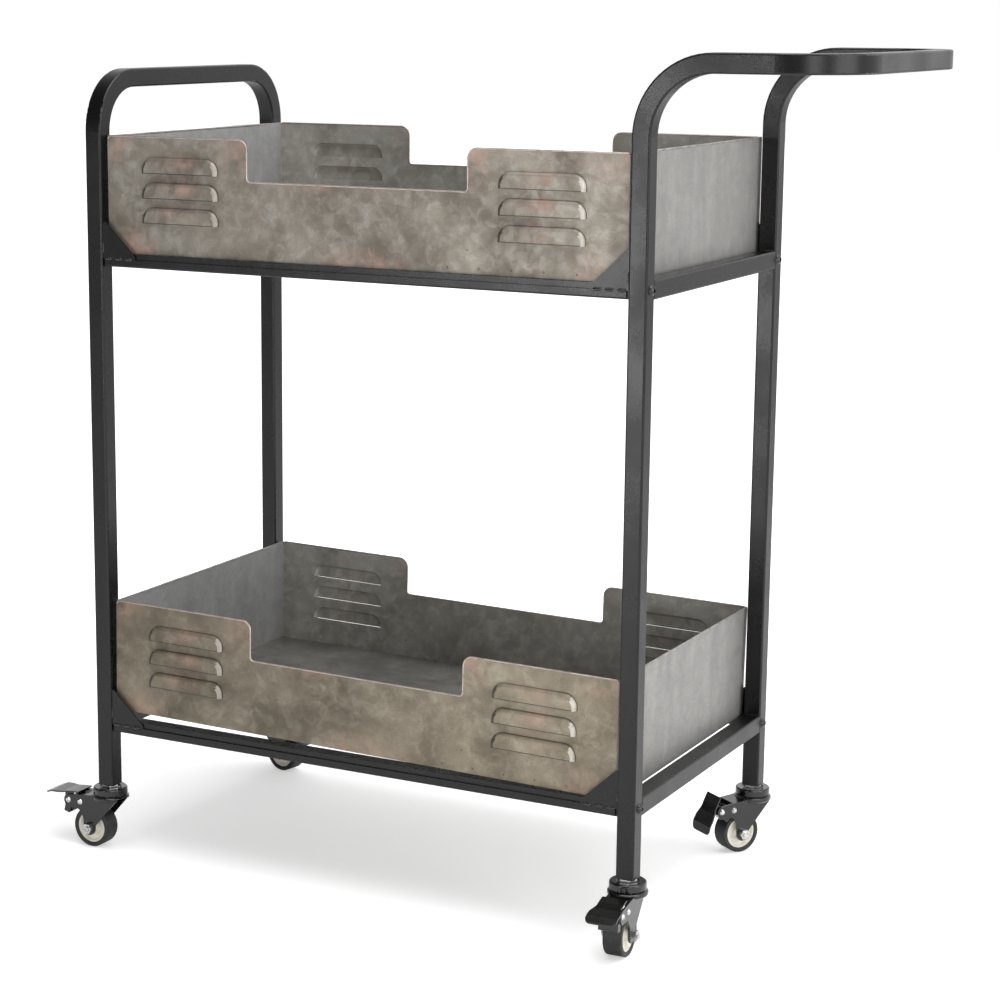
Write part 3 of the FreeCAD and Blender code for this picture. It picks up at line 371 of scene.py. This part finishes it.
def add_camera():
    """A long lens a little above the cart, to the right of its front."""
    data = bpy.data.cameras.new("camera")
    data.sensor_width = 36.0
    data.lens = 89.48
    data.shift_x = 0.1
    camera = bpy.data.objects.new("camera", data)
    bpy.context.scene.collection.objects.link(camera)
    yaw = math.radians(28.515)
    pitch = math.radians(-11.248)
    roll = math.radians(0.222)
    turn = (Matrix.Rotation(yaw, 4, "Z") @ Matrix.Rotation(math.pi / 2 + pitch, 4, "X")
            @ Matrix.Rotation(roll, 4, "Z"))
    stand = Vector((1.21115, -2.30501, 0.9058))
    camera.matrix_world = Matrix.Translation(middle + stand) @ turn
    bpy.context.scene.camera = camera


def add_light(name, place, target, size, power):
    """A soft rectangular light, hidden from the camera; places are from the cart's middle foot."""
    data = bpy.data.lights.new(name, "AREA")
    data.shape = "RECTANGLE"
    data.size, data.size_y = size
    data.energy = power
    light = bpy.data.objects.new(name, data)
    bpy.context.scene.collection.objects.link(light)
    aim = (middle + Vector(target)) - (middle + Vector(place))
    light.location = middle + Vector(place)
    light.rotation_euler = aim.to_track_quat("-Z", "Y").to_euler()
    light.visible_camera = False


def add_floor():
    """A pale sweep under the cart. It glows, weaker near the world origin, darkening the floor there as a
    painted shadow round the cart; the glow is mostly seen by the camera.
    """
    mesh = bpy.data.meshes.new("floor")
    reach = 14.0
    corners = [(-reach, -reach), (reach, -reach), (reach, reach), (-reach, reach)]
    level = cad_box[0].z - SINK
    mesh.from_pydata([(x, y, level) for x, y in corners], [], [(0, 1, 2, 3)])
    floor = bpy.data.objects.new("floor", mesh)
    bpy.context.scene.collection.objects.link(floor)
    g = Graph("pale_floor")
    mottle = g.noise(g.where(), 3.0, 3.0)
    tone = g.mix(mottle, (0.90, 0.90, 0.90), (0.93, 0.93, 0.93))
    # Painted shadow: emission 0.45 within 0.5 m of the origin, rising to 1.0 at 1.6 m.
    away = g.add("VectorMath", {0: g.where()}, operation="LENGTH").outputs["Value"]
    glow_with_painted_shadow = g.remap(away, 0.5, 1.6, 0.45, 1.0)
    seen = g.add("LightPath").outputs["Is Camera Ray"]
    glow_with_painted_shadow = g.math("MULTIPLY", glow_with_painted_shadow, g.math("MAXIMUM", seen, 0.08))
    floor.data.materials.append(g.finish(Base_Color=tone, Roughness=0.9, Specular_IOR_Level=0.05,
                                         Emission_Color=(1.0, 1.0, 1.0), Emission_Strength=glow_with_painted_shadow))


def add_world():
    """White behind the cart; for lighting, bright behind and right of it and dark at front left."""
    world = bpy.data.worlds.new("studio")
    world.use_nodes = True
    tree = world.node_tree
    background = tree.nodes["Background"]
    place = tree.nodes.new("ShaderNodeTexCoord")
    bright_side = tree.nodes.new("ShaderNodeVectorMath")
    bright_side.operation = "DOT_PRODUCT"
    bright_side.inputs[1].default_value = (0.55, 0.83, 0.0)
    tree.links.new(place.outputs["Generated"], bright_side.inputs[0])
    around = tree.nodes.new("ShaderNodeMapRange")
    around.interpolation_type = "SMOOTHSTEP"
    for key, value in (("From Min", -0.55), ("From Max", 0.75), ("To Min", 0.10), ("To Max", 1.0)):
        around.inputs[key].default_value = value
    tree.links.new(bright_side.outputs["Value"], around.inputs["Value"])
    path = tree.nodes.new("ShaderNodeLightPath")
    seen = tree.nodes.new("ShaderNodeMix")
    seen.data_type = "FLOAT"
    seen.inputs[3].default_value = 1.0
    tree.links.new(path.outputs["Is Camera Ray"], seen.inputs[0])
    tree.links.new(around.outputs["Result"], seen.inputs[2])
    tree.links.new(seen.outputs[0], background.inputs["Strength"])
    background.inputs["Color"].default_value = (1, 1, 1, 1)
    bpy.context.scene.world = world


add_camera()
add_world()
add_floor()
add_light("key_right", (2.8, -0.5, 1.4), (0, 0, 0.45), (1.6, 2.2), 26.0)
add_light("front_soft", (-0.75, -2.6, 0.45), (0.3, 0, 0.5), (0.55, 0.95), 11.0)
add_light("front_right", (1.7, -1.9, 0.8), (0.25, 0, 0.45), (0.6, 1.2), 9.0)
add_light("top", (0.5, -0.2, 3.0), (0, 0, 0), (3.0, 2.2), 70.0)
bpy.context.scene.view_settings.view_transform = "Standard"
bpy.context.scene.view_settings.look = "None"

# ------------------------------------------------------------------ mesh helpers

def link_piece(name, mesh, body, materials, node=None):
    """Show a mesh that is already in the cart's frame, riding on a body."""
    for material in materials:
        mesh.materials.append(material)
    thing = bpy.data.objects.new(name, mesh)
    bpy.context.scene.collection.objects.link(thing)
    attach(thing, body)
    if node:
        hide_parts(node)
    return thing


def rounded(corners, steps=6):
    """Closed outline through corners (x, z, radius), its corners as arcs."""
    points = []
    for i, (x, z, radius) in enumerate(corners):
        here = Vector((x, z))
        if not radius:
            points.append(here)
            continue
        before = (Vector(corners[i - 1][:2]) - here).normalized()
        after = (Vector(corners[(i + 1) % len(corners)][:2]) - here).normalized()
        half = before.angle(after) / 2
        hub = here + (before + after).normalized() * radius / math.sin(half)
        first = here + before * radius / math.tan(half) - hub
        sweep = first.angle_signed(here + after * radius / math.tan(half) - hub)
        for k in range(steps + 1):
            turn = -sweep * k / steps
            points.append(hub + Matrix.Rotation(turn, 2) @ first)
    return points


def skin(bm, first, second, smooth=True):
    """Quads between two open rows of vertices."""
    faces = []
    for i in range(len(first) - 1):
        face = bm.faces.new((first[i], first[i + 1], second[i + 1], second[i]))
        face.smooth = smooth
        faces.append(face)
    return faces


def bead(bm, start, end, radius, ripples):
    """A weld bead: a swollen line whose solidified ripples cross it."""
    start = Vector(start)
    along = Vector(end) - start
    side = along.orthogonal().normalized()
    up = along.normalized().cross(side)
    rings = []
    count = ripples * 6
    for k in range(count + 1):
        t = k / count
        swell = math.sqrt(max(0.0, 1.0 - (2.0 * t - 1.0) ** 4)) + 0.02
        size = radius * swell * (0.78 + 0.22 * abs(math.sin(math.pi * ripples * t)))
        spokes = [math.tau * j / 10 for j in range(10)]
        rings.append([bm.verts.new(start + along * t + (side * math.cos(a) + up * math.sin(a)) * size)
                      for a in spokes])
    for first, second in zip(rings, rings[1:]):
        skin(bm, first + first[:1], second + second[:1])
    bm.faces.new(rings[0])
    bm.faces.new(rings[-1])


# ------------------------------------------------------------------ tray panels

def tray_place(tray):
    """A tray's own frame: middle of its underside, X towards the handle, Y towards the back."""
    points = [vertex.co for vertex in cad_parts[tray + "_floor"].data.vertices]
    corners = {}
    for sx in (-1, 1):
        for sy in (-1, 1):
            corners[sx, sy] = max(points, key=lambda p: sx * p.x + sy * p.y - p.z).copy()
    along = (corners[1, -1] - corners[-1, -1]).normalized()
    up = along.cross(corners[-1, 1] - corners[-1, -1]).normalized()
    place = Matrix((along, up.cross(along), up)).transposed().to_4x4()
    place.translation = sum(corners.values(), Vector()) / 4
    return place


def louver_arch(middle, foot, lean, inset):
    """The hood's outline, open along its foot, where its wall has leaned in by this share."""
    reach = LOUVER_HALF - inset - LOUVER_DEPTH * LOUVER_DRAFT * lean
    rise = LOUVER_RISE - inset - LOUVER_DEPTH * LOUVER_DRAFT * lean
    bend = rise * LOUVER_BEND
    return [Vector((middle + x, foot + z)) for x, z in
            rounded([(-reach, 0, 0), (-reach, LOUVER_LIP, 0), (-reach, rise, bend), (reach, rise, bend),
                     (reach, LOUVER_LIP, 0), (reach, 0, 0)], 10)]


def louver_hood(bm, uv, middle, foot):
    """A pressed hood: rounded wall, flat face, real sheet thickness and an open mouth below."""
    shells = []
    for inset in (0.0, LOUVER_SHEET):
        rows = []
        for k in range(7):
            turn = math.pi / 2 * k / 6
            out = SHEET / 2 + (LOUVER_DEPTH - inset) * math.sin(turn)
            arch = louver_arch(middle, foot, 1 - math.cos(turn), inset)
            rows.append([bm.verts.new((p.x, p.y, out)) for p in arch])
        shells.append(rows)
    outside, inside = shells
    walls = [skin(bm, second, first) for first, second in zip(outside, outside[1:])]
    face_ring = outside[-1]
    painted = [bm.faces.new(face_ring[-2:0:-1])]
    # The strip along the foot of the face marks the mouth; it takes painted shade below, for the dark opening
    # under the hood.
    mouth = [bm.faces.new((face_ring[-1], face_ring[-2], face_ring[1], face_ring[0]))]
    # The wall's curved ends: painted shade on the left one, a painted highlight on the right one.
    reach = LOUVER_HALF * 0.86
    shaded_end, highlit_end = [], []
    for strip in walls[1:]:
        for face in strip:
            offset = face.calc_center_median().x - middle
            (highlit_end if offset > reach else shaded_end if offset < -reach else painted).append(face)
    backs = [bm.faces.new(inside[-1])]
    for first, second in zip(inside, inside[1:]):
        backs += skin(bm, first, second)
    rims = [bm.faces.new((outside[-1][0], outside[-1][-1], inside[-1][-1], inside[-1][0]))]
    for end, order in ((0, 1), (-1, -1)):
        rims += skin(bm, [row[end] for row in outside][::order], [row[end] for row in inside][::order], False)
    # Slot 3 is painted shade (rims, mouth strip, wall foot, left end); slot 4 is a painted highlight (right
    # end).
    for group, index in ((painted, 0), (backs, 1), (rims + mouth + walls[0] + shaded_end, 3),
                         (highlit_end, 4)):
        for face in group:
            face.material_index = index
            for loop in face.loops:
                loop[uv].uv = (loop.vert.co.x, loop.vert.co.y)


def panel_sheet(name, half, height):
    """Flat sheet with high ends, a low middle and louver openings, drawn in its own plane."""
    outlines = [rounded(panel_edge(half, height))]
    for side in (-1, 1):
        for foot in LOUVER_FEET:
            outlines.append([p + Vector((0, LOUVER_LIP if p.y < foot + LOUVER_LIP else 0))
                             for p in louver_arch(side * LOUVER_X, foot, 0.0, LOUVER_SHEET)])
    curve = bpy.data.curves.new(name, "CURVE")
    curve.dimensions = "2D"
    curve.fill_mode = "BOTH"
    curve.extrude = SHEET / 2
    for outline in outlines:
        spline = curve.splines.new("POLY")
        spline.points.add(len(outline) - 1)
        for point, place in zip(spline.points, outline):
            point.co = (place.x, place.y, 0.0, 1.0)
        spline.use_cyclic_u = True
    shape = bpy.data.objects.new(name, curve)
    mesh = bpy.data.meshes.new_from_object(shape)
    bpy.data.objects.remove(shape)
    bpy.data.curves.remove(curve)
    return mesh


def spot_weld(bm, uv, x, z, out, facing):
    """A shallow dimple with a raised ring, left by a spot welder."""
    rings = []
    for radius, lift in ((0.0026, 0.0), (0.0021, 0.0004), (0.0015, 0.0003), (0.0009, 0.00005)):
        rings.append([bm.verts.new((x + radius * math.cos(math.tau * k / 14),
                                    z + radius * math.sin(math.tau * k / 14), out + facing * lift))
                      for k in range(14)])
    faces = []
    for first, second in zip(rings, rings[1:]):
        rows = (first + first[:1], second + second[:1])
        faces += skin(bm, *(rows if facing > 0 else rows[::-1]))
    faces.append(bm.faces.new(rings[-1] if facing > 0 else rings[-1][::-1]))
    for face in faces:
        # The outer dimple's middle takes painted shade; spots on the inner face take the inner-face finish
        # with its painted light.
        face.material_index = 1 if facing < 0 else 3 if face is faces[-1] else 0
        for loop in face.loops:
            loop[uv].uv = (x, z)


def hem_roll(bm, uv, path, radius):
    """The rolled top edge of a panel: a thin round bead along its outline."""
    rows = []
    for i, place in enumerate(path):
        along = (path[min(i + 1, len(path) - 1)] - path[max(i - 1, 0)]).normalized()
        inward = Vector((-along.y, along.x))
        spokes = [math.tau * k / 8 for k in range(8)]
        rows.append([bm.verts.new((place.x + inward.x * math.cos(a) * radius,
                                   place.y + inward.y * math.cos(a) * radius, math.sin(a) * radius))
                     for a in spokes])
    faces = [bm.faces.new(rows[0]), bm.faces.new(rows[-1][::-1])]
    for first, second in zip(rows, rows[1:]):
        faces += skin(bm, first + first[:1], second + second[:1])
    for face in faces:
        face.material_index = 2
        for loop in face.loops:
            loop[uv].uv = (loop.vert.co.x, loop.vert.co.y)


def panel_edge(half, height, inset=0.0):
    """The panel's outline, from its low corner round to its top, as corners with radii."""
    crest = height - inset
    low = height - NOTCH_DEPTH - inset
    notch = NOTCH_HALF + inset
    return [(-half, 0, 0), (half, 0, 0), (half, crest, PANEL_TIP_RADIUS), (notch, crest, NOTCH_TOP_RADIUS),
            (notch, low, NOTCH_FOOT_RADIUS), (-notch, low, NOTCH_FOOT_RADIUS),
            (-notch, crest, NOTCH_TOP_RADIUS), (-half, crest, PANEL_TIP_RADIUS)]


def pressed_panel(tray, side):
    """The front or back panel of a tray, with its louvers and spot welds, in place of the CAD one."""
    node = "%s_%s_panel" % (tray, side)
    floor_lo, floor_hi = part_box("upper_tray_floor")
    half = (floor_hi.x - floor_lo.x) / 2 + SHEET
    reach = (floor_hi.y - floor_lo.y) / 2 + SHEET
    end_lo, end_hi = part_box("upper_tray_low_panel")
    bm = bmesh.new()
    bm.from_mesh(panel_sheet(node + "_sheet", half, end_hi.z - end_lo.z))
    uv = bm.loops.layers.uv.verify()
    for face in bm.faces:
        face.smooth = False
        face.normal_update()
        face.material_index = 0 if face.normal.z > 0.5 else 1 if face.normal.z < -0.5 else 2
        for loop in face.loops:
            loop[uv].uv = (loop.vert.co.x, loop.vert.co.y)
    for column in (-1, 1):
        for foot in LOUVER_FEET:
            louver_hood(bm, uv, column * LOUVER_X, foot)
    top_edge = rounded(panel_edge(half - HEM_RADIUS, end_hi.z - end_lo.z, HEM_RADIUS * 0.6))[2:]
    hem_roll(bm, uv, top_edge, HEM_RADIUS)
    for k in range(WELD_SPOTS):
        x = half * WELD_SPAN * (2.0 * k / (WELD_SPOTS - 1) - 1.0)
        spot_weld(bm, uv, x, FLOOR_TOP + SPOT_INNER_HEIGHT, -SHEET / 2, -1)
        if k > WELD_SPOTS * OUTER_SPOTS_FROM:
            spot_weld(bm, uv, x, SPOT_OUTER_HEIGHT, SHEET / 2, 1)
    upright = Matrix(((1, 0, 0, 0), (0, 0, -1, SHEET / 2 - reach), (0, 1, 0, 0), (0, 0, 0, 1)))
    turned = Matrix.Rotation(math.pi if side == "back" else 0.0, 4, "Z")
    bm.transform(tray_place(tray) @ turned @ upright)
    mesh = bpy.data.meshes.new(node + "_pressed")
    bm.to_mesh(mesh)
    bm.free()
    # Slots: panel face, inner face with painted light, sheet edges, painted shade, painted highlight.
    finishes = (PANELS[tray], INNER_FACE_LIT, HEM, PAINTED_SHADE, PAINTED_HIGHLIGHT)
    link_piece(node + "_pressed", mesh, tray, finishes, node)


# ------------------------------------------------------------------ welds and seams

def bracket_welds(level):
    """Three short beads where each corner bracket stands on the rail's step, and one up its post."""
    low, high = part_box("corner_brackets_" + level)
    foot = low.z + STEP_RISE
    bm = bmesh.new()
    for end in (low.x, high.x):
        inward = 1 if end == low.x else -1
        for face in (low.y, high.y):
            for offset in BRACKET_BEADS:
                start = (end + inward * (offset - BRACKET_BEAD_HALF), face, foot + SINK)
                stop = (end + inward * (offset + BRACKET_BEAD_HALF), face, foot + SINK)
                bead(bm, start, stop, BRACKET_BEAD_RADIUS, 3)
            post = end + inward * SINK * 2
            bottom, top = [(post, face, foot + rise) for rise in UPRIGHT_BEAD]
            bead(bm, bottom, top, UPRIGHT_BEAD_RADIUS, 5)
    mesh = bpy.data.meshes.new("bracket_welds_" + level)
    bm.to_mesh(mesh)
    bm.free()
    link_piece("bracket_welds_" + level, mesh, "frame", (GLOSS,))


def rail_welds(end, level):
    """Beads up and across the top of the joints where an end rail meets its posts."""
    low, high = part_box("end_rail_%s_%s" % (end, level))
    bm = bmesh.new()
    for y in (low.y, high.y):
        for x in (low.x + RAIL_BEAD_INSET, high.x - RAIL_BEAD_INSET):
            bead(bm, (x, y, low.z + RAIL_BEAD_END), (x, y, high.z - RAIL_BEAD_END), RAIL_BEAD_RADIUS, 7)
        crest = high.z - SINK
        bead(bm, (low.x + RAIL_BEAD_END, y, crest), (high.x - RAIL_BEAD_END, y, crest), RAIL_BEAD_RADIUS, 6)
    mesh = bpy.data.meshes.new("rail_welds_%s_%s" % (end, level))
    bm.to_mesh(mesh)
    bm.free()
    link_piece("rail_welds_%s_%s" % (end, level), mesh, "frame", (BLACK,))


def tray_seams(tray):
    """Fine beads up a tray's inner corners, round its floor and along its end panels' tops."""
    low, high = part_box("upper_tray_floor")
    half_x = (high.x - low.x) / 2
    half_y = (high.y - low.y) / 2
    end_lo, end_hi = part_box("upper_tray_low_panel")
    top = end_hi.z - end_lo.z
    bm = bmesh.new()
    for sx in (-1, 1):
        x = sx * half_x
        crest = sx * (half_x + SHEET / 2)
        bead(bm, (crest, -half_y, top - HEM_RADIUS), (crest, half_y, top - HEM_RADIUS), END_HEM_RADIUS, 2)
        bead(bm, (x, -half_y, FLOOR_TOP), (x, half_y, FLOOR_TOP), SEAM_RADIUS, 2)
        for sy in (-1, 1):
            bead(bm, (x, sy * half_y, FLOOR_TOP), (x, sy * half_y, top - HEM_RADIUS * 2), SEAM_RADIUS, 2)
    for sy in (-1, 1):
        bead(bm, (-half_x, sy * half_y, FLOOR_TOP), (half_x, sy * half_y, FLOOR_TOP), SEAM_RADIUS, 2)
    bm.transform(tray_place(tray))
    mesh = bpy.data.meshes.new(tray + "_seams")
    bm.to_mesh(mesh)
    bm.free()
    link_piece(tray + "_seams", mesh, tray, (SEAM,))


for tray_name in ("upper_tray", "lower_tray"):
    for panel_side in ("front", "back"):
        pressed_panel(tray_name, panel_side)
    tray_seams(tray_name)
for rail_level in ("lower", "upper"):
    bracket_welds(rail_level)
    for cart_end in ("low", "handle"):
        rail_welds(cart_end, rail_level)
